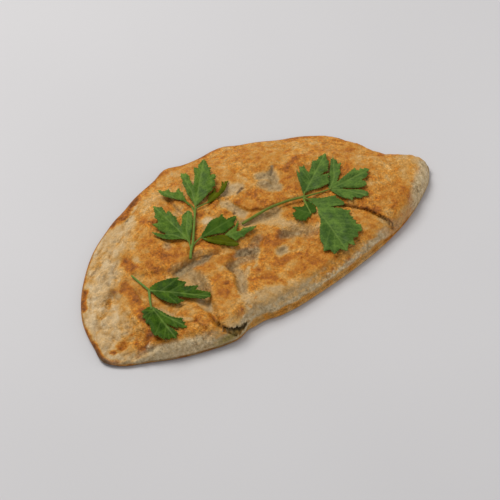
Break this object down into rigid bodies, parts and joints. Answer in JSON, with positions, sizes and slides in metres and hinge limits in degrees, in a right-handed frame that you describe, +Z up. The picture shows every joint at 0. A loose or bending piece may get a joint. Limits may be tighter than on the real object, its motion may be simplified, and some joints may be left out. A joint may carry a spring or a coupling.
{
  "type": "bolani",
  "caption": "Filled flatbread folded into a half moon, browned in a pan, its fold torn open a little over green filling, with parsley sprigs on top.",
  "frame": {"origin": "on the surface it rests on, under the middle of the bread's outline", "axes": "+X along the fold towards the thick end, +Y from the fold towards the curved rim, +Z up"},
  "size_m": [0.2532, 0.1384, 0.0181],
  "materials": {
    "dough": "pan-browned wheat dough, matt with a faint sheen of oil",
    "filling": "moist chopped green herbs",
    "parsley": "fresh flat parsley leaf, satin"
  },
  "bodies": {
    "root": {"bread": "dough", "filling": "filling", "parsley_1": "parsley", "parsley_2": "parsley", "parsley_3": "parsley"}
  },
  "joints": []
}
